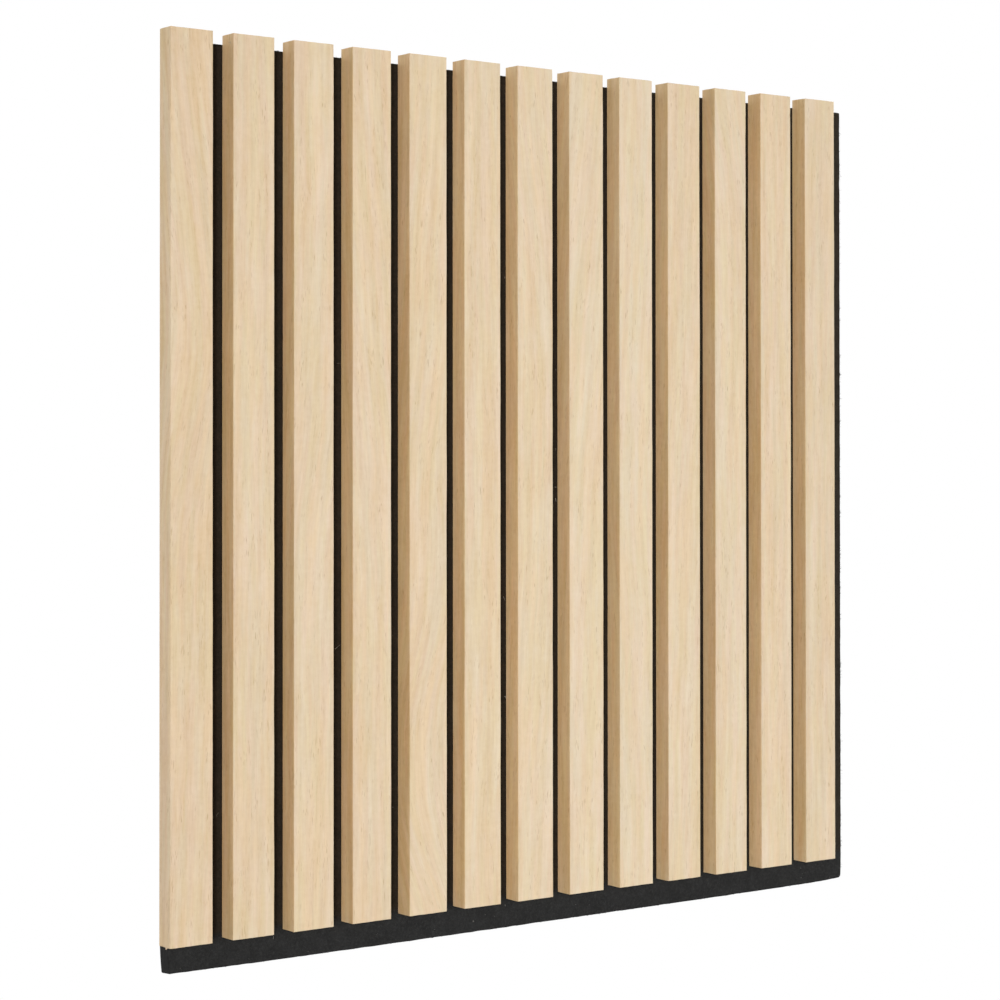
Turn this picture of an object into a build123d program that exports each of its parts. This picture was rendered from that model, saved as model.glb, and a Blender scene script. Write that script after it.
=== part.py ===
from build123d import *
import os

# Slatted acoustic wall panel: wooden slats held on a felt backing by staples driven from behind.
# The origin is the centre of the felt's back face, which lies on the wall. +Z is up, +X is to the
# right of someone who faces the panel, and the slats stand out from the wall towards -Y.
# All sizes are in millimetres.

# Slats
SLAT_COUNT = 13
SLAT_WIDTH = 27.0
SLAT_GAP = 13.0
SLAT_LENGTH = 507.0
SLAT_THICKNESS = 12.0
SLAT_ARRIS_RADIUS = 0.5

# Felt backing: it stops short of the slats at the left and top, and passes them at the right and
# bottom, so that the next panel's slats carry on the same rhythm when the felts butt together
FELT_THICKNESS = 9.0
FELT_CORNER_RADIUS = 1.5
SLAT_OVERHANG = 5.0
BUTT_CLEARANCE = 1.5

# Staples
STAPLES_PER_SLAT = 4
STAPLE_END_MARGIN = 45.0
STAPLE_CROWN_WIDTH = 11.0
STAPLE_WIRE_WIDTH = 1.2
STAPLE_WIRE_THICKNESS = 0.9
STAPLE_BEND_RADIUS = 0.8
STAPLE_SINK_DEPTH = 0.4
STAPLE_BITE_DEPTH = 7.0

# Module that one panel takes up on the wall, and what follows from it
slat_pitch = SLAT_WIDTH + SLAT_GAP
felt_width = SLAT_COUNT * slat_pitch - BUTT_CLEARANCE
felt_height = SLAT_LENGTH + SLAT_GAP - BUTT_CLEARANCE
slat_top = felt_height / 2 + SLAT_OVERHANG
slat_bottom = slat_top - SLAT_LENGTH
slat_middle_height = slat_top - SLAT_LENGTH / 2
first_slat_x = -felt_width / 2 - SLAT_OVERHANG + SLAT_WIDTH / 2
slat_field_x = first_slat_x + (SLAT_COUNT - 1) * slat_pitch / 2

staple_row_spacing = (SLAT_LENGTH - 2 * STAPLE_END_MARGIN) / (STAPLES_PER_SLAT - 1)
staple_leg_spacing = STAPLE_CROWN_WIDTH - STAPLE_WIRE_THICKNESS
staple_leg_length = FELT_THICKNESS - STAPLE_SINK_DEPTH + STAPLE_BITE_DEPTH
staple_row_heights = [
    slat_bottom + STAPLE_END_MARGIN + row * staple_row_spacing for row in range(STAPLES_PER_SLAT)
]

# Planes that face the room: the wall, the felt's front and the slats' front
wall_plane = Plane.XZ
felt_front_plane = wall_plane.offset(FELT_THICKNESS)

os.makedirs("parts", exist_ok=True)

# Felt backing, with the slots that the staples' legs and sunk crowns press into it
with BuildPart() as felt:
    with BuildSketch(wall_plane) as outline:
        Rectangle(felt_width, felt_height)
        fillet(outline.vertices(), FELT_CORNER_RADIUS)
    extrude(amount=FELT_THICKNESS)
    with BuildSketch(wall_plane):
        with Locations((slat_field_x, slat_middle_height)):
            with GridLocations(slat_pitch, staple_row_spacing, SLAT_COUNT, STAPLES_PER_SLAT):
                Rectangle(STAPLE_CROWN_WIDTH, STAPLE_WIRE_WIDTH)
    extrude(amount=STAPLE_SINK_DEPTH + STAPLE_WIRE_THICKNESS, mode=Mode.SUBTRACT)
    with BuildSketch(wall_plane):
        with Locations((slat_field_x, slat_middle_height)):
            with GridLocations(slat_pitch, staple_row_spacing, SLAT_COUNT, STAPLES_PER_SLAT):
                with GridLocations(staple_leg_spacing, 0, 2, 1):
                    Rectangle(STAPLE_WIRE_THICKNESS, STAPLE_WIRE_WIDTH)
    extrude(amount=FELT_THICKNESS, mode=Mode.SUBTRACT)
felt.part.label = "felt_backing"
export_step(felt.part, "parts/felt_backing.step")

# Slats: a section with two eased front arrises, carried up the slat's length, and square-sawn ends
for index in range(SLAT_COUNT):
    slat_x = first_slat_x + index * slat_pitch
    with BuildPart() as slat:
        with BuildSketch(Plane.XY.offset(slat_bottom)) as section:
            with Locations((slat_x, -FELT_THICKNESS)):
                Rectangle(SLAT_WIDTH, SLAT_THICKNESS, align=(Align.CENTER, Align.MAX))
            fillet(section.vertices().group_by(Axis.Y)[0], SLAT_ARRIS_RADIUS)
        extrude(amount=SLAT_LENGTH)
        with BuildSketch(felt_front_plane):
            with Locations((slat_x, slat_middle_height)):
                with GridLocations(staple_leg_spacing, staple_row_spacing, 2, STAPLES_PER_SLAT):
                    Rectangle(STAPLE_WIRE_THICKNESS, STAPLE_WIRE_WIDTH)
        extrude(amount=STAPLE_BITE_DEPTH, mode=Mode.SUBTRACT)
    slat.part.label = f"slat_{index + 1:02d}"
    export_step(slat.part, f"parts/{slat.part.label}.step")

# Staples: flat wire bent to a U, its crown drawn just below the felt's back face
with BuildPart() as staples:
    for row_height in staple_row_heights:
        with BuildSketch(Plane.XY.offset(row_height)) as bent_wire:
            with Locations((slat_field_x, -STAPLE_SINK_DEPTH)):
                with GridLocations(slat_pitch, 0, SLAT_COUNT, 1):
                    Rectangle(STAPLE_CROWN_WIDTH, staple_leg_length, align=(Align.CENTER, Align.MAX))
            fillet(bent_wire.vertices().group_by(Axis.Y)[-1], STAPLE_BEND_RADIUS)
            with Locations((slat_field_x, -STAPLE_SINK_DEPTH - STAPLE_WIRE_THICKNESS)):
                with GridLocations(slat_pitch, 0, SLAT_COUNT, 1):
                    Rectangle(
                        STAPLE_CROWN_WIDTH - 2 * STAPLE_WIRE_THICKNESS,
                        staple_leg_length - STAPLE_WIRE_THICKNESS,
                        align=(Align.CENTER, Align.MAX),
                        mode=Mode.SUBTRACT,
                    )
        extrude(amount=STAPLE_WIRE_WIDTH / 2, both=True)
staples.part.label = "staples"
export_step(staples.part, "parts/staples.step")
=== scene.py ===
import math

import bpy
import numpy as np
from mathutils import Matrix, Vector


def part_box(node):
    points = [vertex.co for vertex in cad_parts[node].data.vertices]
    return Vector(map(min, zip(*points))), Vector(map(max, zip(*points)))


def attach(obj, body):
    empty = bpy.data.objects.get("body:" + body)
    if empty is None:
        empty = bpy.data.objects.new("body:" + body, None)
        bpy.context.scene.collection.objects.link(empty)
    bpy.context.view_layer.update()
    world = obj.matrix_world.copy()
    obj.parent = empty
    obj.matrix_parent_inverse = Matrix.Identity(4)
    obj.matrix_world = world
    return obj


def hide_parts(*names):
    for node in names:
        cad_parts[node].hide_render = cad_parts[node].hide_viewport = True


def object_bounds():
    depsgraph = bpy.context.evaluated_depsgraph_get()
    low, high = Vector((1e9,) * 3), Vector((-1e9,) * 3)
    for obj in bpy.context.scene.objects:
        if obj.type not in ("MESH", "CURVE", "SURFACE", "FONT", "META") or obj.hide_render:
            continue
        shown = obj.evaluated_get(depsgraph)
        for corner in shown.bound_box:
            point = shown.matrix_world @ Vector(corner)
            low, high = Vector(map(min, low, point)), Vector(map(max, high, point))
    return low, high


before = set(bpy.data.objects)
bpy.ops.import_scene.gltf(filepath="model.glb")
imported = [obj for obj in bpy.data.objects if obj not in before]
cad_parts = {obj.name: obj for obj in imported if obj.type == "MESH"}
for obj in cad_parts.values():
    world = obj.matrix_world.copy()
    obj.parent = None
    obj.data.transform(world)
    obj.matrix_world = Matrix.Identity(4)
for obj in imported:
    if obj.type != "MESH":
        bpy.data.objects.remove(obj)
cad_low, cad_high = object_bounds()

# Slatted acoustic wall panel: oak-faced slats on black needled felt, held by staples from behind.
# Lengths are in metres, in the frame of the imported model: the wall is the plane Y = 0, the slats face -Y.
MM = 0.001

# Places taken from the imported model
SLAT_NAMES = sorted(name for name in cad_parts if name.startswith("slat_"))
SLAT_BOXES = np.array([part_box(name) for name in SLAT_NAMES])
SLAT_CENTRES = SLAT_BOXES[:, :, 0].mean(axis=1)
SLAT_WIDTH = SLAT_BOXES[0, 1, 0] - SLAT_BOXES[0, 0, 0]
SLAT_BOTTOM = SLAT_BOXES[0, 0, 2]
SLAT_TOP = SLAT_BOXES[0, 1, 2]
FELT_LOW, FELT_HIGH = np.array(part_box("felt_backing"))
STAPLE_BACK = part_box("staples")[1][1]

# Slat finish
ARRIS_RADIUS = 0.55 * MM
ARRIS_UNEVENNESS = 0.12 * MM
FACE_WANDER = 0.03 * MM
SAWN_UNEVENNESS = 0.05 * MM
SHARP_ANGLE = math.radians(40)
VENEER_THICKNESS = 0.6 * MM
# How far the veneer of one slat starts from that of the next, across and along the grain
VENEER_STEP_ACROSS = 0.37
VENEER_STEP_ALONG = 0.83

# Way of the grain in each slat: how far it has shifted to the right, by height above the slat's foot, in mm
GRAIN_PATHS = (
    ((0, -6), (150, -1), (235, 0), (290, 10), (336, 17), (384, 13), (444, 3), (507, -4)),
    ((0, 0), (180, 1.5), (280, 0), (400, 2.5), (507, 3)),
    ((0, -1), (184, 0), (232, 2), (280, 8), (344, 12.5), (424, 14), (507, 14)),
    ((0, 0), (184, 0), (264, -1), (320, -7), (400, -14), (507, -20)),
    ((0, 26), (16, 18), (40, 9), (64, 2), (92, 0), (124, 2), (145, 9), (164, 15), (200, 18), (264, 19),
     (344, 28), (404, 31), (464, 35), (507, 37)),
    ((0, 0), (250, 1), (507, -1)),
    ((0, -8), (84, -3), (192, 4), (300, 6), (384, 4), (464, -6), (507, -10)),
    ((0, 0), (150, 0), (248, 2), (312, 8), (372, 12), (444, 21), (507, 27)),
    ((0, 3), (164, 2), (232, -3), (320, -3), (388, 2), (507, 5)),
    ((0, -4), (100, 0), (208, 3), (288, 8), (392, 13), (507, 16)),
    ((0, 0), (150, 1.5), (350, 1.5), (424, 0), (460, -5), (507, -14)),
    ((0, 0), (250, 1), (507, 0)),
    ((0, 1), (250, -1), (507, 2)),
)
GRAIN_SMOOTHING = 14.0
# Painted golden bounce light: colour that the veneer is multiplied by on the slats' sides, standing in for
# warm light reflected between the slats, and its share on the first slat's left side
PAINTED_SIDE_BOUNCE = (0.99, 0.915, 0.77, 1.0)
FIRST_SIDE_BOUNCE_SHARE = 0.25
# How pale each slat's veneer is, from the goldenest to the palest
SLAT_PALENESS = (0.0, 0.38, 0.38, 0.38, 0.38, 0.38, 0.56, 0.84, 1.0, 0.53, 0.69, 0.41, 0.59)
# Painted light falloff: how much each slat's veneer is lightened or darkened, darker toward the outer slats
# where less light falls
SLAT_PAINTED_FALLOFF = (0.967, 0.985, 0.993, 0.995, 1.0, 1.0, 1.003, 1.01, 1.003, 0.99, 0.985, 0.978, 0.952)
# Painted light on each slat's left side: how much that side is lightened beyond the veneer's own colour
SIDE_PAINTED_LIGHT = (1.045, 1.015, 1.018, 1.045, 1.045, 1.11, 1.14, 1.07, 1.08, 1.07, 1.08, 1.14, 1.13)

# Felt finish
FELT_EDGE_RADIUS = 0.6 * MM
FELT_EDGE_UNEVENNESS = 0.07 * MM
FELT_CORNER = 0.6 * MM
FELT_RIGHT_FOOT_CORNER = 2.3 * MM
FELT_RIGHT_FOOT_RISE = 0.6 * MM
FELT_LEFT_FOOT_SLANT = 0.8 * MM
FELT_LEAN = 1.2 * MM
FELT_LEAN_HEIGHT = 15.0 * MM
FELT_BELLY = 0.75 * MM
FELT_SPREAD = 0.4 * MM
FELT_SOFT_RIM = 8.0 * MM
FELT_NAP = 0.04 * MM
FELT_PRESS = 0.06 * MM
FELT_LUMPS = 0.05 * MM
FELT_BACK_RELIEF = 0.08 * MM
# Painted bounce light: colour that the felt is multiplied by between the slats, a brown tinge standing in
# for warm light reflected from the wood
PAINTED_GAP_BOUNCE = (1.15, 0.92, 0.68, 1.0)
STAPLE_CROWN_WIDTH = 11.0 * MM
STAPLE_WIRE_WIDTH = 1.2 * MM
STAPLE_WIRE_THICKNESS = 0.9 * MM
STAPLE_DENT_SLOPE = 1.8 * MM

# Loose strands of felt, lint and torn veneer
EDGE_STRANDS = 6000
FRONT_RIM_SHARE = 0.6
EDGE_STRAND_RADIUS = 0.065 * MM
EDGE_STRAND_DEPTH = 0.1 * MM
# Longest strands of the foot, the right edge, the top and the left edge
EDGE_STRAND_LENGTHS = np.array([0.35, 1.15, 0.7, 0.6]) * MM
TUFT_SPACING = 2.6 * MM
TUFT_SIZE = 0.35 * MM
FACE_STRANDS = 3600
FACE_STRAND_RADIUS = 0.028 * MM
FACE_STRAND_LENGTHS = (0.8 * MM, 2.6 * MM)
FACE_STRAND_INSET = 4.0 * MM
# Colours of the strands
FELT_FIBRE = (0.045, 0.045, 0.045)
PALE_FIBRE = (0.42, 0.40, 0.36)
DULL_FIBRE = (0.15, 0.145, 0.135)
LINT_RADIUS = 0.11 * MM
# Place of each bit of lint and its length, in mm: first the pale bits, then the dull ones
PALE_LINT_SPOTS = (
    (-190.9, -9.1, -248.0, 1.4), (-224.3, -18.2, 259.0, 0.9), (-49.6, -9.1, -253.7, 0.5),
)
DULL_LINT_SPOTS = (
    (-250.7, -9.1, -257.0, 0.9), (-206.8, -9.1, -257.2, 1.2), (-167.3, -9.1, -257.6, 1.0),
    (-153.6, -9.1, -257.6, 0.9), (-40.6, -9.1, -250.5, 0.5), (-33.8, -9.1, -251.9, 0.6),
    (-78.4, -9.1, -255.2, 0.8), (-120.1, -9.1, -253.9, 0.7), (40.3, -9.1, -253.3, 0.6),
    (29.9, -9.1, -252.1, 0.5), (222.0, -9.1, -249.2, 0.9), (223.2, -9.1, -252.5, 0.9),
    (222.4, -9.1, -255.4, 0.7), (248.6, -9.1, -258.2, 0.5),
)
# Pale threads on the bare felt, in mm: root across and up, run across and up, bow across and up, and the
# share of the lint's thickness
PALE_THREADS = (
    (-148.8, -84.8, 3.4, 2.5, 0.2, 0.0, 1.5),
    (-147.6, 81.1, 2.8, 0.0, 0.0, 0.1, 0.35),
    (-25.4, 136.5, 0.1, -1.2, 0.0, 0.0, 1.4),
    (-26.4, -58.6, 1.0, -2.6, 0.2, 0.0, 1.3),
    (-25.8, -119.5, 1.4, -0.4, 0.0, 0.0, 1.7),
    (-25.2, -119.1, 0.4, -1.8, 0.2, 0.0, 1.7),
    (-25.4, -246.2, 0.1, -0.9, 0.0, 0.0, 0.9),
    (14.1, 80.6, 0.1, -0.9, 0.0, 0.0, 0.5),
    (14.0, 31.7, 0.2, -1.4, 0.0, 0.0, 0.7),
    (13.3, 7.9, 2.0, 0.0, 0.0, 0.0, 0.7),
    (13.4, 7.4, 1.9, -0.1, 0.0, 0.0, 0.7),
    (14.0, 0.7, 0.3, -2.1, 0.1, 0.0, 1.6),
    (-228.0, -9.8, 1.0, -0.4, 0.0, 0.0, 0.3),
    (-226.6, -172.6, -4.4, -3.1, 3.8, 0.0, 0.55),
    (-108.3, -179.5, 0.4, -1.0, 0.0, 0.0, 0.6),
)
THREAD_LIFT = 0.3 * MM
SPLINTER_WIDTH = 2.2 * MM
SPLINTER_LENGTH = 1.1 * MM
SPLINTER_THICKNESS = 0.35 * MM
SPLINTER_FROM_FRONT = 3.9 * MM
SPLINTER_TUCK = 0.3 * MM
SPLINTER_CURL = 0.35 * MM
SPLINTER_DRIFT = 0.3 * MM

# Camera, as fitted to the edges of the slats
CAMERA_PLACE = (-0.94964, -1.23556, 0.03106)
CAMERA_TURN = math.radians(36.904)
CAMERA_RISE = math.radians(0.5868)
CAMERA_ROLL = math.radians(-0.0413)
CAMERA_LENS_MM = 90.606
CAMERA_SENSOR_MM = 36.0
CAMERA_SHIFT = -0.0764
CAMERA_SHIFT_ASIDE = -0.0003

# Light: the level is the share of plain light that a lamp gives to a surface that faces it
ROOM_LEVEL = 0.13
# Name, turn to the right of the front and rise in degrees, distance, width, height and level of each lamp
LAMPS = (
    ("left_soft_box", -40, 0, 5.0, 0.6, 2.2, 0.48),
    ("right_soft_box", 40, 0, 5.0, 2.0, 2.4, 0.53),
    ("left_rear_panel", -112, 5, 1.6, 1.2, 1.6, 0.245),
    ("right_rear_panel", 150, 20, 1.9, 1.2, 1.2, 0.35),
)
FLOOR_DROP = 1.2
FLOOR_SIZE = 2.6


# Mesh making

def make_piece(name, points, faces, materials, material_of_face=None, maps=None, finish=None, smooth=True):
    """Puts points and faces into a mesh object at the origin, with its UV maps and its finish attribute."""
    mesh = bpy.data.meshes.new(name)
    mesh.from_pydata(points.tolist(), [], faces if isinstance(faces, list) else faces.tolist())
    for material in materials:
        mesh.materials.append(material)
    if material_of_face is not None:
        mesh.polygons.foreach_set("material_index", material_of_face.astype(np.int32))
    mesh.polygons.foreach_set("use_smooth", np.full(len(mesh.polygons), smooth))
    for map_name, corners in (maps or {}).items():
        layer = mesh.uv_layers.new(name=map_name)
        layer.uv.foreach_set("vector", corners.astype(np.float32).ravel())
    if finish is not None:
        attribute = mesh.attributes.new("finish", "FLOAT_VECTOR", "CORNER")
        attribute.data.foreach_set("vector", finish.astype(np.float32).ravel())
    mesh.update()
    piece = bpy.data.objects.new(name, mesh)
    bpy.context.scene.collection.objects.link(piece)
    return piece


def block_skin(xs, ys, zs):
    """Closed skin of a block that is ruled by the lines xs, ys and zs.

    The points are the crossings of the lines that lie on the outside, each named by its rank there. Each of
    the six sides is the grid of quads between neighbouring lines, wound to face outwards. Returns the
    points, the quads and the side of each quad, counted as twice the axis, plus one on the high side.
    """
    shape = (len(xs), len(ys), len(zs))
    outside = np.zeros(shape, bool)
    for axis in range(3):
        np.moveaxis(outside, axis, 0)[[0, -1]] = True
    rank = np.full(shape, -1)
    rank[outside] = np.arange(outside.sum())
    points = np.stack(np.meshgrid(xs, ys, zs, indexing="ij"), axis=-1)[outside]
    quads = []
    sides = []
    for axis in range(3):
        layers = np.moveaxis(rank, axis, 0)
        for high in (0, 1):
            sheet = layers[-high]
            ring = [sheet[:-1, :-1], sheet[1:, :-1], sheet[1:, 1:], sheet[:-1, 1:]]
            if (high == 0) != (axis == 1):
                ring.reverse()
            quads.append(np.stack(ring, axis=-1).reshape(-1, 4))
            sides.append(np.full(len(quads[-1]), 2 * axis + high))
    return points, np.concatenate(quads), np.concatenate(sides)


def round_off(points, inner_low, inner_high):
    """Rounds a block's edges: what lies outside the inner block keeps its largest offset from it as radius.

    A point on the skin has an offset from the nearest point of the inner block. The offset is scaled so
    that its length is its largest component, which turns square edges into quarter rounds.
    """
    inner = np.clip(points, inner_low, inner_high)
    offset = points - inner
    length = np.linalg.norm(offset, axis=1)
    largest = np.abs(offset).max(axis=1)
    scale = np.divide(largest, length, out=np.ones_like(length), where=length > 0)
    return inner + offset * scale[:, None]


def ripple(places, wavelength, seed, waves=14):
    """Smooth irregular relief between about -1 and 1 at the given places.

    It is the sum of plane waves in random directions with random phases, each near the given wavelength,
    divided by the root of their number.
    """
    draw = np.random.default_rng(seed)
    places = np.atleast_2d(places.T).T
    directions = draw.normal(size=(places.shape[1], waves))
    directions /= np.linalg.norm(directions, axis=0)
    numbers = 2 * np.pi / (wavelength * draw.uniform(0.7, 1.5, waves))
    phases = draw.uniform(0, 2 * np.pi, waves)
    return np.sin(places @ (directions * numbers) + phases).sum(axis=1) / waves**0.5


def ease(low, high, value):
    """Smooth step from 0 at low to 1 at high."""
    part = np.clip((value - low) / (high - low), 0, 1)
    return part * part * (3 - 2 * part)


def ruled(low, high, step, centres, offsets):
    """Lines from low to high about a step apart, with fine lines at the offsets about each centre."""
    fine = (np.asarray(centres)[:, None] + np.asarray(offsets)[None, :]).ravel()
    fine = fine[(fine > low) & (fine < high)]
    coarse = np.linspace(low, high, int(round((high - low) / step)) + 1)
    gap = np.abs(coarse[:, None] - fine[None, :]).min(axis=1)
    ends = [low, high]
    return np.unique(np.concatenate([fine, coarse[gap > 0.6 * step], ends]).round(7))


# Shader writing

class Socket:
    """An output of a node. Python's arithmetic on it adds Math nodes."""

    def __init__(self, finish, output):
        self.finish = finish
        self.output = output

    def math(self, operation, *others, clamp=False):
        settings = {"operation": operation, "use_clamp": clamp}
        return self.finish.node("ShaderNodeMath", settings, dict(enumerate((self, *others))))

    def __add__(self, other):
        return self.math("ADD", other)

    __radd__ = __add__

    def __mul__(self, other):
        return self.math("MULTIPLY", other)

    __rmul__ = __mul__

    def __sub__(self, other):
        return self.math("SUBTRACT", other)

    def __rsub__(self, other):
        return self.finish.node("ShaderNodeMath", {"operation": "SUBTRACT"}, {0: other, 1: self})

    def __truediv__(self, other):
        return self.math("DIVIDE", other)

    def __rtruediv__(self, other):
        return self.finish.node("ShaderNodeMath", {"operation": "DIVIDE"}, {0: other, 1: self})

    def eased(self, low, high):
        """Smooth step of this value from 0 at low to 1 at high."""
        settings = {"interpolation_type": "SMOOTHSTEP"}
        sockets = {"Value": self, "From Min": low, "From Max": high}
        return self.finish.node("ShaderNodeMapRange", settings, sockets)


class Finish:
    """A material, or the room's light, as a tree of nodes."""

    def __init__(self, owner):
        owner.use_nodes = True
        self.owner = owner
        self.tree = owner.node_tree
        self.tree.nodes.clear()

    def node(self, kind, settings=None, sockets=None, output=0):
        """Adds a node: its settings first, then the values or links of its sockets."""
        made = self.tree.nodes.new(kind)
        for name, value in (settings or {}).items():
            setattr(made, name, value)
        for name, value in (sockets or {}).items():
            if isinstance(value, Socket):
                self.tree.links.new(value.output, made.inputs[name])
            else:
                made.inputs[name].default_value = value
        return Socket(self, made.outputs[output])

    def place(self, x, y, z):
        return self.node("ShaderNodeCombineXYZ", None, {"X": x, "Y": y, "Z": z})

    def split(self, vector):
        return [self.node("ShaderNodeSeparateXYZ", None, {0: vector}, axis) for axis in range(3)]

    def noise(self, vector, detail=2.0, roughness=0.5, scale=1.0):
        sockets = {"Vector": vector, "Scale": scale, "Detail": detail, "Roughness": roughness}
        return self.node("ShaderNodeTexNoise", None, sockets)

    def blend(self, share, first, second, way="MIX"):
        """Mixes two colours."""
        settings = {"data_type": "RGBA", "blend_type": way}
        return self.node("ShaderNodeMix", settings, {0: share, 6: first, 7: second}, 2)

    def bump(self, height, depth, strength=1.0):
        sockets = {"Height": height, "Distance": depth, "Strength": strength}
        return self.node("ShaderNodeBump", None, sockets)

    def surface(self, **sockets):
        named = {name.replace("_", " "): value for name, value in sockets.items()}
        shader = self.node("ShaderNodeBsdfPrincipled", None, named)
        self.node_out("ShaderNodeOutputMaterial", shader)
        return self.owner

    def node_out(self, kind, shader):
        out = self.tree.nodes.new(kind)
        self.tree.links.new(shader.output, out.inputs["Surface"])


def colour(red, green, blue):
    return (red, green, blue, 1.0)


def make_oak():
    """Pale oak veneer: growth bands, streaks and fibres drawn out along the slat, with short dark pores.

    It reads the grain map, whose first coordinate runs round the slat and whose second runs along it, in
    metres. Each layer is noise with its own length across and along the grain. The finish attribute holds
    the slat's paleness, the share of painted golden bounce light on its sides, and the painted light that
    lightens or darkens the slat and its left side.
    """
    oak = Finish(bpy.data.materials.new("pale_oak_veneer"))
    across, along = oak.split(oak.node("ShaderNodeUVMap", {"uv_map": "grain"}))[:2]
    finish = oak.node("ShaderNodeAttribute", {"attribute_name": "finish"}, None, 1)
    paleness, side_bounce_share, painted_lightness = oak.split(finish)

    def layer(width, length, depth, detail=2.0, roughness=0.5, drift=0.0):
        return oak.noise(oak.place((across + drift) / width, along / length, depth), detail, roughness)

    flow = (layer(26 * MM, 90 * MM, 1.7) - 0.5) * (5 * MM)
    flow = flow + (layer(5 * MM, 24 * MM, 2.9) - 0.5) * (0.8 * MM)
    band = layer(7.5 * MM, 260 * MM, 4.1, 3.0, 0.6, flow)
    patch = layer(4.2 * MM, 42 * MM, 6.2, 3.0, 0.62, flow)
    dash = layer(1.1 * MM, 8.5 * MM, 7.4, 1.0, 0.5, flow)
    mottle = layer(2.6 * MM, 2.4 * MM, 44.7, 2.0, 0.6)
    figure = layer(9 * MM, 3.0 * MM, 47.2, 2.0, 0.6)
    streak = layer(0.9 * MM, 30 * MM, 8.3, 1.5, 0.5, flow)
    fibre = layer(0.24 * MM, 9 * MM, 12.9, 2.0, 0.6, flow)
    pore_noise = layer(0.30 * MM, 7.5 * MM, 17.3, 1.0, 0.5, flow)
    tick_noise = layer(0.36 * MM, 4.6 * MM, 19.4, 0.0, 0.5, flow)
    tick_place = layer(4.5 * MM, 17 * MM, 23.8, 1.0, 0.5, flow)
    small_blush = layer(3.2 * MM, 46 * MM, 26.7, 2.0, 0.5, flow)
    spot_blush = layer(5 * MM, 9 * MM, 29.4, 1.0, 0.5)
    large_blush = layer(10 * MM, 130 * MM, 31.3, 1.0, 0.5, flow)
    rosy = layer(6 * MM, 80 * MM, 35.8, 2.0, 0.6, flow).eased(0.36, 0.64)

    crowd = band * 0.6 + patch * 0.4
    hollow = pore_noise.eased(0.67, 0.78)
    pore = hollow * crowd.eased(0.46, 0.64)
    tick = tick_noise.eased(0.66, 0.76) * tick_place.eased(0.50, 0.64)
    dark = pore.math("MAXIMUM", tick * 0.7)
    tone = (band - 0.5) * 1.2 + (patch - 0.5) * 0.95 + (streak - 0.5) * 0.42 + (dash - 0.5) * 0.38
    tone = tone + (fibre - 0.5) * 0.2 + (mottle - 0.5) * 0.38 + (figure - 0.5) * 0.25
    # On the sides the grain's contrast is raised along with the painted bounce light.
    tone = tone * (1.56 - paleness * 0.45 + side_bounce_share * 0.7) + 0.495
    golden = (small_blush * 0.4 + large_blush * 0.4 + spot_blush * 0.2).eased(0.36, 0.64)
    light = oak.blend(golden, colour(0.818, 0.664, 0.487), colour(0.814, 0.643, 0.417))
    deep = oak.blend(golden, colour(0.716, 0.546, 0.364), colour(0.714, 0.528, 0.311))
    wood = oak.blend(tone.math("ADD", 0.0, clamp=True), light, deep)
    wood = oak.blend(dark * 0.75, wood, colour(0.48, 0.30, 0.14))
    cast = oak.blend(paleness, colour(1.0, 0.985, 0.965), colour(1.0, 1.03, 1.06))
    wood = oak.blend(1.0, wood, cast, "MULTIPLY")
    blush = oak.blend(rosy, colour(0.985, 1.0085, 1.0), colour(1.015, 0.9915, 1.0))
    wood = oak.blend(1.0, wood, blush, "MULTIPLY")
    # Painted bounce light: the sides are tinted golden, standing in for warm light reflected between the
    # slats.
    wood = oak.blend(1.0, wood, oak.blend(side_bounce_share, colour(1, 1, 1), PAINTED_SIDE_BOUNCE), "MULTIPLY")
    # Painted light: each slat is darkened toward the outer slats, where less light falls, and its left side
    # is lightened by its own share.
    wood = oak.blend(1.0, wood, oak.place(painted_lightness, painted_lightness, painted_lightness), "MULTIPLY")
    relief = fibre * 0.35 - hollow
    return oak.surface(
        Base_Color=wood,
        Roughness=0.58 + (streak - 0.5) * 0.16 + dark * 0.12,
        Specular_IOR_Level=0.35,
        Normal=oak.bump(relief, 0.10 * MM, 0.6),
    )


def make_sawn_end():
    """Sawn end of a slat: speckled fibreboard with the veneer's thin edge round its front and sides.

    It reads the grain map, which holds the distance from the slat's middle and from its front on the ends.
    """
    end = Finish(bpy.data.materials.new("sawn_slat_end"))
    across, inward = end.split(end.node("ShaderNodeUVMap", {"uv_map": "grain"}))[:2]
    speck = end.noise(end.place(across / (0.5 * MM), inward / (0.35 * MM), 3.0), 3.0, 0.65)
    saw = end.noise(end.place(across / (9 * MM), inward / (0.45 * MM), 9.0), 2.0, 0.5)
    tone = speck * 0.7 + saw * 0.3
    board = end.blend(tone.eased(0.3, 0.7), colour(0.36, 0.245, 0.145), colour(0.52, 0.385, 0.25))
    from_side = SLAT_WIDTH / 2 - across.math("ABSOLUTE")
    edge = from_side.math("MINIMUM", inward)
    veneer = 1.0 - edge.eased(0.75 * VENEER_THICKNESS, 1.15 * VENEER_THICKNESS)
    return end.surface(
        Base_Color=end.blend(veneer, board, colour(0.66, 0.49, 0.31)),
        Roughness=0.78,
        Normal=end.bump(speck + saw * 0.6, 0.12 * MM, 0.7),
    )


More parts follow.
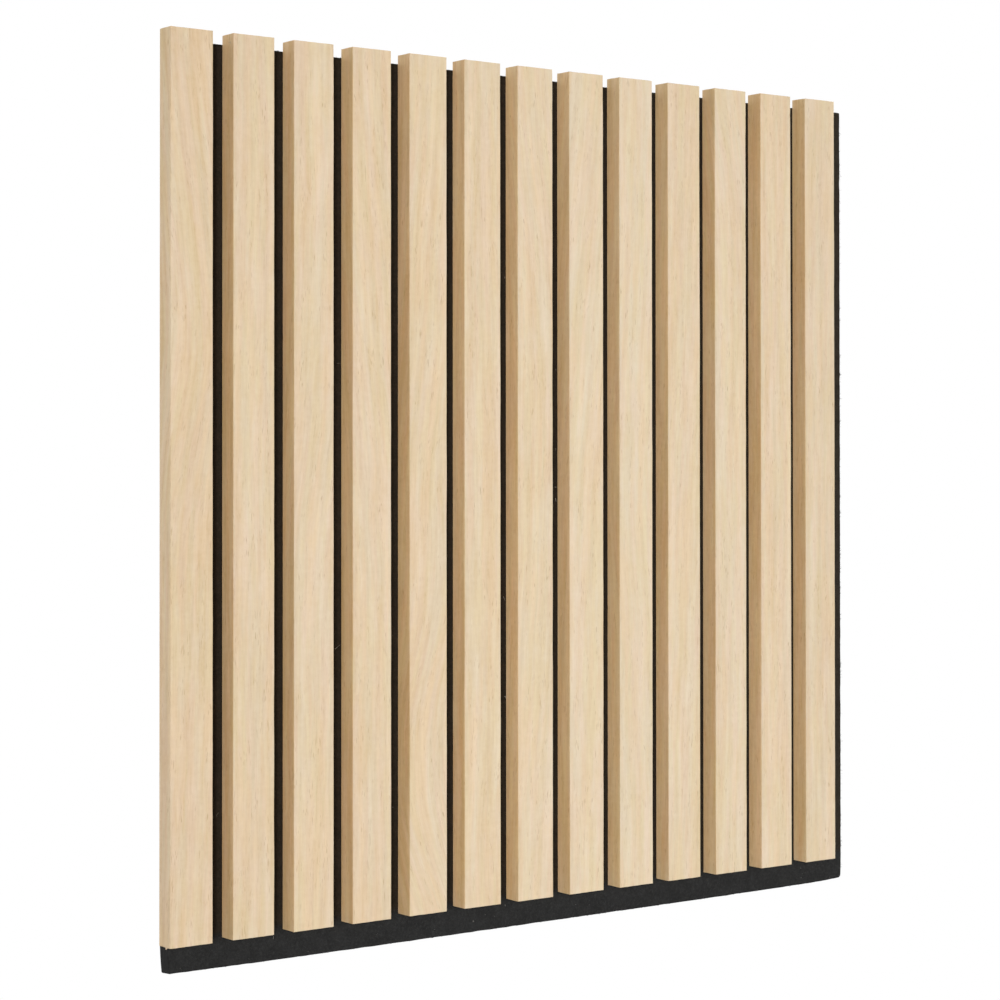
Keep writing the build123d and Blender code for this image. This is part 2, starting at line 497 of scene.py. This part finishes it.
def make_felt():
    """Black needled felt: fibres in three directions over a soft mottle, dull all over."""
    felt = Finish(bpy.data.materials.new("black_needled_felt"))
    place = felt.node("ShaderNodeTexCoord", None, None, 3)
    x, y, z = felt.split(place)

    def strands(angle, seed):
        turned_x = x * math.cos(angle) + z * math.sin(angle)
        turned_z = z * math.cos(angle) - x * math.sin(angle)
        drawn = felt.place(turned_x / (2.6 * MM), turned_z / (0.30 * MM), y / (0.5 * MM) + seed)
        return felt.noise(drawn, 2.0, 0.6)

    fibres = strands(0.35, 1.0).math("MAXIMUM", strands(1.45, 7.0)).math("MAXIMUM", strands(2.45, 13.0))
    mottle = felt.noise(felt.place(x / (6 * MM), y / (6 * MM), z / (6 * MM)), 3.0, 0.6)
    tuft = felt.noise(felt.place(x / (1.4 * MM), y / (1.4 * MM), z / (1.4 * MM)), 2.0, 0.6)
    light = fibres.eased(0.50, 0.78) * 0.62 + mottle.eased(0.30, 0.70) * 0.18
    light = light + tuft.eased(0.42, 0.75) * 0.24
    # Painted bounce light: between the slats the felt is tinted brown, standing in for warm light reflected
    # from the wood sides.
    gap_bounce_share = z.eased(SLAT_BOTTOM, SLAT_BOTTOM + 5 * MM) * (0.0 - y).eased(7.5 * MM, 8.8 * MM)
    black = felt.blend(light, colour(0.0165, 0.0165, 0.0163), colour(0.0445, 0.0445, 0.0442))
    return felt.surface(
        Base_Color=felt.blend(1.0, black, felt.blend(gap_bounce_share, colour(1, 1, 1), PAINTED_GAP_BOUNCE), "MULTIPLY"),
        Roughness=0.95,
        Specular_IOR_Level=0.05,
        Sheen_Weight=0.03,
        Sheen_Roughness=0.6,
        Normal=felt.bump(fibres * 0.7 + tuft * 0.6, 0.35 * MM, 0.8),
    )


def make_fibre(name, shade):
    """A loose strand, with a little difference in shade from one to the next."""
    strand = Finish(bpy.data.materials.new(name))
    place = strand.node("ShaderNodeTexCoord", None, None, 3)
    vary = strand.noise(place, 1.0, 0.5, 160.0)
    dark = colour(*(0.75 * np.array(shade)))
    pale = colour(*(1.25 * np.array(shade)))
    return strand.surface(
        Base_Color=strand.blend(vary, dark, pale),
        Roughness=0.8,
        Specular_IOR_Level=0.2,
    )


def make_staple_steel():
    """Galvanised wire: dull bright metal with drawn lines along the crown and cloudy zinc."""
    steel = Finish(bpy.data.materials.new("staple_wire"))
    x, y, z = steel.split(steel.node("ShaderNodeTexCoord", None, None, 3))
    drawn = steel.noise(steel.place(x / (6 * MM), y / (0.12 * MM), z / (0.12 * MM)), 2.0, 0.6)
    cloud = steel.noise(steel.place(x / (2 * MM), y / (2 * MM), z / (2 * MM)), 2.0, 0.5)
    return steel.surface(
        Base_Color=steel.blend(cloud, colour(0.42, 0.42, 0.43), colour(0.64, 0.64, 0.65)),
        Metallic=1.0,
        Roughness=0.30 + cloud * 0.15 + drawn * 0.10,
        Normal=steel.bump(drawn, 0.03 * MM, 0.5),
    )


# Slats

def grain_shift(index, height):
    """How far the grain has wandered sideways at a height: the slat's own path, with its corners smoothed.

    The path's straight lines are averaged over a bell-shaped window.
    """
    fine = np.arange(-60.0, 568.0, 2.0)
    path = np.interp(fine, *np.transpose(GRAIN_PATHS[index]))
    window = np.exp(-0.5 * (np.arange(-50.0, 51.0, 2.0) / GRAIN_SMOOTHING) ** 2)
    smooth = np.convolve(np.pad(path, 25, mode="edge"), window / window.sum(), mode="valid")
    return np.interp(height / MM, fine, smooth) * MM


def make_slat(index, oak, sawn_end):
    """One slat: a block whose two front edges are rounded by an uneven arris radius.

    The lines crowd together at the arrises and the ends. The front wanders by a few hundredths of a
    millimetre, and so do the sawn ends. The grain map unrolls the front and both sides, wanders along
    the slat's own path and starts at its own place in the veneer.
    """
    low, high = SLAT_BOXES[index]
    edge = np.array([0, 0.25, 0.5, 0.75, 1.0]) * ARRIS_RADIUS
    middle = np.linspace(low[0] + ARRIS_RADIUS, high[0] - ARRIS_RADIUS, 9)[1:-1]
    xs = np.concatenate([low[0] + edge, middle, (high[0] - edge)[::-1]])
    ys = np.concatenate([low[1] + edge, np.linspace(low[1] + ARRIS_RADIUS, high[1], 4)[1:]])
    ends = np.array([0, 0.4, 1.2, 3.0]) * MM
    zs = np.concatenate([low[2] + ends, np.linspace(low[2], high[2], 86)[1:-1], (high[2] - ends)[::-1]])
    flat, quads, sides = block_skin(xs, ys, zs)

    radius = ARRIS_RADIUS + ARRIS_UNEVENNESS * ripple(flat[:, [0, 2]], 45 * MM, 200 + index)
    radius = np.clip(radius, 0.3 * ARRIS_RADIUS, 1.6 * ARRIS_RADIUS)[:, None]
    free = np.full((len(flat), 1), np.inf)
    inner_low = np.hstack([low[0] + radius, low[1] + radius, -free])
    inner_high = np.hstack([high[0] - radius, free, free])
    points = round_off(flat, inner_low, inner_high)
    wander = FACE_WANDER * ripple(flat, 60 * MM, 300 + index)
    points[:, 1] += np.where(flat[:, 1] < low[1] + 0.5 * (high[1] - low[1]), wander, 0)
    at_end = np.minimum(flat[:, 2] - low[2], high[2] - flat[:, 2]) < 0.1 * MM
    points[:, 2] += np.where(at_end, SAWN_UNEVENNESS * ripple(flat[:, :2], 5 * MM, 400 + index), 0)

    corner = flat[quads]
    side = sides[:, None]
    width = high[0] - low[0]
    depth = corner[:, :, 1] - low[1]
    from_middle = corner[:, :, 0] - (low[0] + high[0]) / 2
    round_slat = np.where(side == 3, from_middle + 3 * width, from_middle)
    round_slat = np.where(side == 0, -width / 2 - depth, round_slat)
    round_slat = np.where(side == 1, width / 2 + depth, round_slat)
    height = corner[:, :, 2] - low[2]
    grain_x = round_slat - grain_shift(index, height) + VENEER_STEP_ACROSS * (index + 1)
    grain_z = height + VENEER_STEP_ALONG * (index + 1)
    is_end = side >= 4
    grain = np.stack([np.where(is_end, from_middle, grain_x), np.where(is_end, depth, grain_z)], axis=-1)
    finish = np.zeros(corner.shape)
    finish[:, :, 0] = SLAT_PALENESS[index]
    # The second value is the share of painted golden bounce light: all of it on the sides, a part of it on
    # the first slat's left side.
    finish[:, :, 1] = np.where(side <= 1, 1.0, 0.0)
    if index == 0:
        finish[:, :, 1] = np.where(side == 0, FIRST_SIDE_BOUNCE_SHARE, finish[:, :, 1])
    # The third value is painted light: the slat's painted falloff, times its left side's painted lightening
    # on that side.
    finish[:, :, 2] = SLAT_PAINTED_FALLOFF[index] * np.where(side == 0, SIDE_PAINTED_LIGHT[index], 1.0)
    material_of_face = (sides >= 4).astype(int)
    slat = make_piece(f"oak_{SLAT_NAMES[index]}", points, quads, [oak, sawn_end], material_of_face,
                      {"grain": grain}, finish)
    slat.data.set_sharp_from_angle(angle=SHARP_ANGLE)
    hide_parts(SLAT_NAMES[index])
    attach(slat, "root")
    return slat


# Felt backing

def felt_slump(places):
    """How far the soft sheet departs from a square one at each place.

    The right edge spreads outwards and the foot hangs down, least at its ends. The foot rises at the right
    corner, slants at the left one, and both lower corners lean inwards, the left one more.
    """
    out = (2 * places - FELT_LOW - FELT_HIGH) / (FELT_HIGH - FELT_LOW)
    at_right = 1 - ease(0, FELT_SOFT_RIM, FELT_HIGH[0] - places[:, 0])
    at_bottom = 1 - ease(0, FELT_SOFT_RIM, places[:, 2] - FELT_LOW[2])
    near_bottom = np.clip(1 - (places[:, 2] - FELT_LOW[2]) / FELT_LEAN_HEIGHT, 0, 1) ** 1.4
    near_side = ease(0.94, 1.0, np.abs(out[:, 0]))
    lean = np.where(out[:, 0] < 0, -1.0, 0.35) * FELT_LEAN * near_bottom * near_side
    hang = 0.25 * FELT_SPREAD + FELT_BELLY * (1 - out[:, 0] ** 4)
    rise = FELT_RIGHT_FOOT_RISE * ease(0.92, 1.0, out[:, 0])
    slant = FELT_LEFT_FOOT_SLANT * ease(0.96, 1.0, -out[:, 0]) * (out[:, 1] + 1) / 2
    shift = np.zeros_like(places)
    shift[:, 0] = at_right * FELT_SPREAD - lean
    shift[:, 2] = at_bottom * (rise - hang - slant)
    return shift


def make_felt_backing(felt):
    """The felt sheet: a block with soft rounded edges, pressed in round each staple and under each slat.

    The edge wanders by an uneven cut and follows the slump. The back sinks below each staple's crown over a
    short slope.
    """
    crown = STAPLE_CROWN_WIDTH / 2
    wire = STAPLE_WIRE_WIDTH / 2
    crown_offsets = np.array([0, 0.5, 0.9, 0.97, 1.03, 1.12, 1.28, 1.5]) * crown
    wire_offsets = np.array([0, 0.9, 1.25, 1.9, 3.0, 5.0]) * wire
    edge = np.array([0.2, 0.4, 0.6, 1.5, 3.0, 5.0, 8.0, 11.0]) * MM
    low, high = FELT_LOW, FELT_HIGH
    rows = staple_rows()
    xs = ruled(low[0], high[0], 6 * MM, SLAT_CENTRES, np.concatenate([-crown_offsets, crown_offsets]))
    zs = ruled(low[2], high[2], 4 * MM, rows, np.concatenate([-wire_offsets, wire_offsets]))
    xs = np.unique(np.concatenate([xs, low[0] + edge, high[0] - edge]).round(7))
    zs = np.unique(np.concatenate([zs, low[2] + edge, high[2] - edge]).round(7))
    rounding = np.array([0, 0.25, 0.5, 0.75, 1.0]) * FELT_EDGE_RADIUS
    ys = np.concatenate([low[1] + rounding, [(low[1] + high[1]) / 2], (high[1] - rounding)[::-1]])
    flat, quads, sides = block_skin(xs, ys, zs)
    points = round_off(flat, low + FELT_EDGE_RADIUS, high - FELT_EDGE_RADIUS)
    right_foot = (flat[:, :1] > 0) & (flat[:, 2:] < 0)
    corner = np.where(right_foot, FELT_RIGHT_FOOT_CORNER, FELT_CORNER)
    points[:, [0, 2]] = round_off(points[:, [0, 2]], low[[0, 2]] + corner, high[[0, 2]] - corner)

    middle = (low + high) / 2
    out = (flat - middle) / (high - low) * 2
    cut = FELT_EDGE_UNEVENNESS * (ripple(flat[:, [0, 2]], 17 * MM, 21) + 0.8 * ripple(flat, 5 * MM, 22))
    points[:, 0] += np.where(np.abs(out[:, 0]) > 0.985, np.sign(out[:, 0]) * cut, 0)
    points[:, 2] += np.where(np.abs(out[:, 2]) > 0.985, np.sign(out[:, 2]) * cut, 0)
    points += felt_slump(flat)

    front = ease(0.2, 1.0, -out[:, 1])
    from_slat = np.abs(flat[:, 0][:, None] - SLAT_CENTRES).min(axis=1) - SLAT_WIDTH / 2
    inside = (flat[:, 2] > SLAT_BOTTOM) & (flat[:, 2] < SLAT_TOP)
    pressed = np.where(inside, 1 - ease(-1.5 * MM, 2.0 * MM, from_slat), 0)
    lumps = FELT_LUMPS * ripple(flat, 9 * MM, 31) * (1 - pressed)
    points[:, 1] += front * (FELT_PRESS * pressed - FELT_NAP + lumps)

    back = ease(0.2, 1.0, out[:, 1])
    from_crown = np.abs(flat[:, 0][:, None] - SLAT_CENTRES).min(axis=1) - crown
    from_wire = np.abs(flat[:, 2][:, None] - rows).min(axis=1) - wire
    from_staple = np.hypot(np.maximum(from_crown, 0), np.maximum(from_wire, 0))
    sink = high[1] - STAPLE_BACK + STAPLE_WIRE_THICKNESS
    points[:, 1] -= back * (sink * (1 - ease(0, STAPLE_DENT_SLOPE, from_staple)))
    points[:, 1] -= back * FELT_BACK_RELIEF * (1 + ripple(flat, 11 * MM, 41)) / 2

    backing = make_piece("felt_sheet", points, quads, [felt])
    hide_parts("felt_backing")
    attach(backing, "root")
    return backing


def staple_rows():
    """Heights of the staples' crowns: the middles of the pairs of heights that their flat wire has."""
    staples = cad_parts["staples"].data
    places = np.empty(3 * len(staples.vertices), np.float32)
    staples.vertices.foreach_get("co", places)
    heights = np.unique(places[2::3].round(4))
    return heights.reshape(-1, 2).mean(axis=1)


# Loose strands

def make_strands(name, roots, along, bend, lengths, radius, material):
    """Loose strands, each a thin three-sided tube that tapers to its tip, of one radius or one for each.

    The centre line is the root plus the length times (t along + t squared bend), with t from 0 to 1. The
    corners stand round it in two directions square to the strand, and a triangle closes each end.
    """
    joints = np.linspace(0, 1, 5)[None, :, None]
    line = roots[:, None] + lengths[:, None, None] * (joints * along[:, None] + joints**2 * bend[:, None])
    helper = np.where(np.abs(along[:, 2:]) < 0.8, [[0.0, 0.0, 1.0]], [[1.0, 0.0, 0.0]])
    first = np.cross(along, helper)
    first /= np.linalg.norm(first, axis=1, keepdims=True)
    second = np.cross(along, first)
    second /= np.linalg.norm(second, axis=1, keepdims=True)
    angles = 2 * np.pi / 3 * np.arange(3)[None, :, None]
    ring = np.cos(angles) * first[:, None] + np.sin(angles) * second[:, None]
    taper = np.reshape(radius, (-1, 1, 1, 1)) * (1 - 0.65 * joints[..., None])
    points = line[:, :, None] + taper * ring[:, None]
    rank = np.arange(points.size // 3).reshape(points.shape[:3])
    near, far = rank[:, :-1], rank[:, 1:]
    quads = np.stack([near, np.roll(near, -1, axis=2), np.roll(far, -1, axis=2), far], axis=-1)
    caps = np.concatenate([rank[:, 0, ::-1], rank[:, -1]])
    faces = quads.reshape(-1, 4).tolist() + caps.tolist()
    piece = make_piece(name, points.reshape(-1, 3), faces, [material])
    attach(piece, "root")
    return piece


def unit(vectors):
    return vectors / np.linalg.norm(vectors, axis=1, keepdims=True)


def make_edge_fuzz(material):
    """Short strands that stand out of the felt's cut edges, in random directions about the outward one.

    They gather in tufts at random places along the edges, some full and some thin. More than half of them
    stand on the front rim, where the knife has frayed it.
    """
    draw = np.random.default_rng(61)
    count = EDGE_STRANDS
    half = (FELT_HIGH - FELT_LOW) / 2
    middle = (FELT_HIGH + FELT_LOW) / 2
    tufts = int(8 * half[0] / TUFT_SPACING)
    fullness = draw.exponential(size=tufts)
    tuft = draw.choice(tufts, count, p=fullness / fullness.sum())
    side = draw.integers(0, 4, tufts)[tuft]
    spread = draw.uniform(-0.97, 0.97, tufts)[tuft] + TUFT_SIZE / half[0] * draw.normal(size=count)
    spread = np.clip(spread, -0.98, 0.98)
    outward = np.array([[0, 0, -1.0], [1.0, 0, 0], [0, 0, 1.0], [-1.0, 0, 0]])[side]
    across = np.where((side % 2 == 0)[:, None], [[1.0, 0, 0]], [[0, 0, 1.0]])
    roots = middle + outward * (half - EDGE_STRAND_DEPTH) + across * spread[:, None] * half
    on_rim = draw.uniform(size=count) < FRONT_RIM_SHARE
    rim_depth = draw.uniform(0.2, 0.6, count) * MM
    any_depth = draw.uniform(0.05, 0.95, count) * 2 * half[1]
    roots[:, 1] = FELT_LOW[1] + np.where(on_rim, rim_depth, any_depth)
    roots += felt_slump(roots)
    along = unit(outward + 0.8 * draw.normal(size=(count, 3)) * [1, 0.5, 1])
    bend = 0.6 * draw.normal(size=(count, 3)) * [1, 0.4, 1]
    lengths = draw.uniform(0.3, 0.95, count) * EDGE_STRAND_LENGTHS[side]
    return make_strands("felt_edge_strands", roots, along, bend, lengths, EDGE_STRAND_RADIUS, material)


def make_face_fuzz(material):
    """Strands that lie on the felt's bare front and back, rising a little and bending back to the sheet."""
    draw = np.random.default_rng(62)
    count = FACE_STRANDS
    roots = draw.uniform(FELT_LOW + FACE_STRAND_INSET, FELT_HIGH - FACE_STRAND_INSET, (count, 3))
    on_back = np.arange(count) % 3 == 0
    beside = np.abs(roots[:, :1] - SLAT_CENTRES).min(axis=1) > SLAT_WIDTH / 2 + 0.8 * MM
    bare = on_back | beside | (roots[:, 2] < SLAT_BOTTOM - 0.5 * MM)
    outward = np.where(on_back, 1.0, -1.0)[:, None] * np.array([[0, 1.0, 0]])
    roots[:, 1] = np.where(on_back, FELT_HIGH[1] - 0.12 * MM, FELT_LOW[1])
    along = draw.normal(size=(count, 3))
    along[:, 1] = 0
    along = unit(unit(along) + 0.35 * outward)
    bend = 0.35 * draw.normal(size=(count, 3)) * [1, 0.05, 1] - 0.33 * outward
    lengths = draw.uniform(*FACE_STRAND_LENGTHS, count)
    return make_strands("felt_face_strands", roots[bare], along[bare], bend[bare], lengths[bare],
                        FACE_STRAND_RADIUS, material)


def make_lint(name, places, seed, material):
    """Bits of lint caught on the felt, each three short curled strands at one place."""
    draw = np.random.default_rng(seed)
    spots = np.repeat(np.array(places), 3, axis=0)
    count = len(spots)
    roots = spots[:, :3] * MM + 0.15 * MM * draw.normal(size=(count, 3))
    along = unit(draw.normal(size=(count, 3)) * [0.7, 0.35, 1.0] + [0, -0.4, 0])
    bend = 0.6 * draw.normal(size=(count, 3))
    lengths = spots[:, 3] * MM * draw.uniform(0.6, 1.0, count)
    return make_strands(name, roots, along, bend, lengths, LINT_RADIUS, material)


def make_threads(material):
    """Single pale threads that lie just off the bare felt, each along its own run and bow."""
    across, up, run_across, run_up, bow_across, bow_up, share = np.transpose(PALE_THREADS)
    still = np.zeros_like(across)
    roots = np.stack([across * MM, still + FELT_LOW[1] - THREAD_LIFT, up * MM], axis=1)
    run = np.stack([run_across, still, run_up], axis=1)
    bow = np.stack([bow_across, still, bow_up], axis=1)
    lengths = np.linalg.norm(run, axis=1)
    return make_strands("pale_threads", roots, unit(run), bow / lengths[:, None], lengths * MM,
                        LINT_RADIUS * share, material)


def make_splinter(oak):
    """A torn flake of veneer under the first slat's left side: a thin block that narrows and curls out.

    Its width shrinks with the square of the way down, and its place moves out with the square of it.
    """
    low = SLAT_BOXES[0, 0]
    flat, quads = block_skin(np.linspace(0, 1, 2), np.linspace(-1, 1, 5), np.linspace(0, 1, 7))[:2]
    quads = quads[:, ::-1]
    thick, wide, down = flat.T
    half_width = SPLINTER_WIDTH / 2 * (1 - 0.75 * down**2)
    points = np.stack([
        low[0] + SPLINTER_THICKNESS * thick * (1 - 0.5 * down) - SPLINTER_CURL * down**2,
        low[1] + SPLINTER_FROM_FRONT + half_width * wide + SPLINTER_DRIFT * down,
        SLAT_BOTTOM + SPLINTER_TUCK - (SPLINTER_LENGTH + SPLINTER_TUCK) * down * (1 - 0.25 * wide**2),
    ], axis=-1)
    corner = points[quads]
    grain = np.stack([corner[:, :, 1] + 0.4, corner[:, :, 2] + 1.1], axis=-1)
    finish = np.zeros(corner.shape) + [0, 0, 1]
    piece = make_piece("veneer_splinter", points, quads, [oak], None, {"grain": grain}, finish)
    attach(piece, "root")
    return piece


# Room

def make_room():
    """White room: the camera and shiny surfaces see plain white, all else gets a level of soft light."""
    world = Finish(bpy.data.worlds.new("white_room"))
    path = [world.node("ShaderNodeLightPath", None, None, name) for name in
            ("Is Camera Ray", "Is Glossy Ray", "Is Transmission Ray")]
    seen = path[0].math("MAXIMUM", path[1]).math("MAXIMUM", path[2])
    level = ROOM_LEVEL + seen * (1 - ROOM_LEVEL)
    light = world.node("ShaderNodeBackground", None, {"Color": colour(1, 1, 1), "Strength": level})
    world.node_out("ShaderNodeOutputWorld", light)
    bpy.context.scene.world = world.owner


def make_floor():
    """Pale floor far below the panel, which keeps a soft shadow and melts into the room at its rim."""
    level = cad_low[2] - FLOOR_DROP
    lines = np.linspace(-FLOOR_SIZE, FLOOR_SIZE, 5)
    x, y = np.meshgrid(lines, lines, indexing="ij")
    points = np.stack([x.ravel(), y.ravel(), np.full(x.size, level)], axis=-1)
    rank = np.arange(x.size).reshape(x.shape)
    quads = np.stack([rank[:-1, :-1], rank[1:, :-1], rank[1:, 1:], rank[:-1, 1:]], axis=-1).reshape(-1, 4)
    paint = Finish(bpy.data.materials.new("pale_floor"))
    seen = paint.node("ShaderNodeLightPath", None, None, "Is Camera Ray")
    across, inward = paint.split(paint.node("ShaderNodeTexCoord", None, None, 3))[:2]
    rim = (across * across + inward * inward).math("SQRT").eased(0.4 * FLOOR_SIZE, 0.95 * FLOOR_SIZE)
    matt = paint.node("ShaderNodeBsdfDiffuse", None, {"Color": colour(0.9, 0.9, 0.9)})
    white = paint.node("ShaderNodeEmission", None, {"Color": colour(1, 1, 1), "Strength": 1.0})
    both = paint.node("ShaderNodeMixShader", None, {0: seen * (0.8 + rim * 0.2), 1: matt, 2: white})
    paint.node_out("ShaderNodeOutputMaterial", both)
    make_piece("floor", points, quads, [paint.owner], smooth=False)


def make_lamp(name, turn, rise, distance, width, height, level):
    """A soft box that faces the panel's middle, turned to the right of its front and raised, in degrees."""
    aside = math.radians(turn)
    up = math.radians(rise)
    away = np.array([math.sin(aside) * math.cos(up), -math.cos(aside) * math.cos(up), math.sin(up)])
    lamp = bpy.data.lights.new(name, "AREA")
    lamp.shape = "RECTANGLE"
    lamp.size = width
    lamp.size_y = height
    lamp.energy = level * (math.pi * distance) ** 2
    holder = bpy.data.objects.new(name, lamp)
    turned = Matrix.Rotation(aside, 4, "Z") @ Matrix.Rotation(math.pi / 2 - up, 4, "X")
    holder.matrix_world = Matrix.Translation(away * distance) @ turned
    holder.visible_camera = False
    bpy.context.scene.collection.objects.link(holder)


def make_camera():
    """The camera, at the place, turn and lens that set the slats' edges where the photograph has them."""
    turn, rise, roll = CAMERA_TURN, CAMERA_RISE, CAMERA_ROLL
    ahead = np.array([math.sin(turn) * math.cos(rise), math.cos(turn) * math.cos(rise), math.sin(rise)])
    level_right = np.array([math.cos(turn), -math.sin(turn), 0.0])
    level_up = np.cross(level_right, ahead)
    right = math.cos(roll) * level_right + math.sin(roll) * level_up
    up = math.cos(roll) * level_up - math.sin(roll) * level_right
    data = bpy.data.cameras.new("camera")
    data.sensor_width = CAMERA_SENSOR_MM
    data.lens = CAMERA_LENS_MM
    data.shift_x = CAMERA_SHIFT_ASIDE
    data.shift_y = CAMERA_SHIFT
    data.clip_start = 0.05
    data.clip_end = 50.0
    camera = bpy.data.objects.new("camera", data)
    axes = np.eye(4)
    axes[:3, 0], axes[:3, 1], axes[:3, 2], axes[:3, 3] = right, up, -ahead, CAMERA_PLACE
    camera.matrix_world = Matrix(axes.tolist())
    bpy.context.scene.collection.objects.link(camera)
    bpy.context.scene.camera = camera


oak = make_oak()
sawn_end = make_sawn_end()
felt = make_felt()
for index in range(len(SLAT_NAMES)):
    make_slat(index, oak, sawn_end)
make_felt_backing(felt)
felt_fibre = make_fibre("loose_felt_strand", FELT_FIBRE)
make_edge_fuzz(felt_fibre)
make_face_fuzz(felt_fibre)
pale_fibre = make_fibre("pale_lint_strand", PALE_FIBRE)
make_lint("pale_lint", PALE_LINT_SPOTS, 63, pale_fibre)
make_threads(pale_fibre)
make_lint("dull_lint", DULL_LINT_SPOTS, 64, make_fibre("dull_lint_strand", DULL_FIBRE))
make_splinter(oak)
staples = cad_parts["staples"]
staples.data.materials.clear()
staples.data.materials.append(make_staple_steel())

make_room()
make_floor()
for lamp in LAMPS:
    make_lamp(*lamp)
make_camera()

bpy.context.scene.view_settings.view_transform = "Standard"
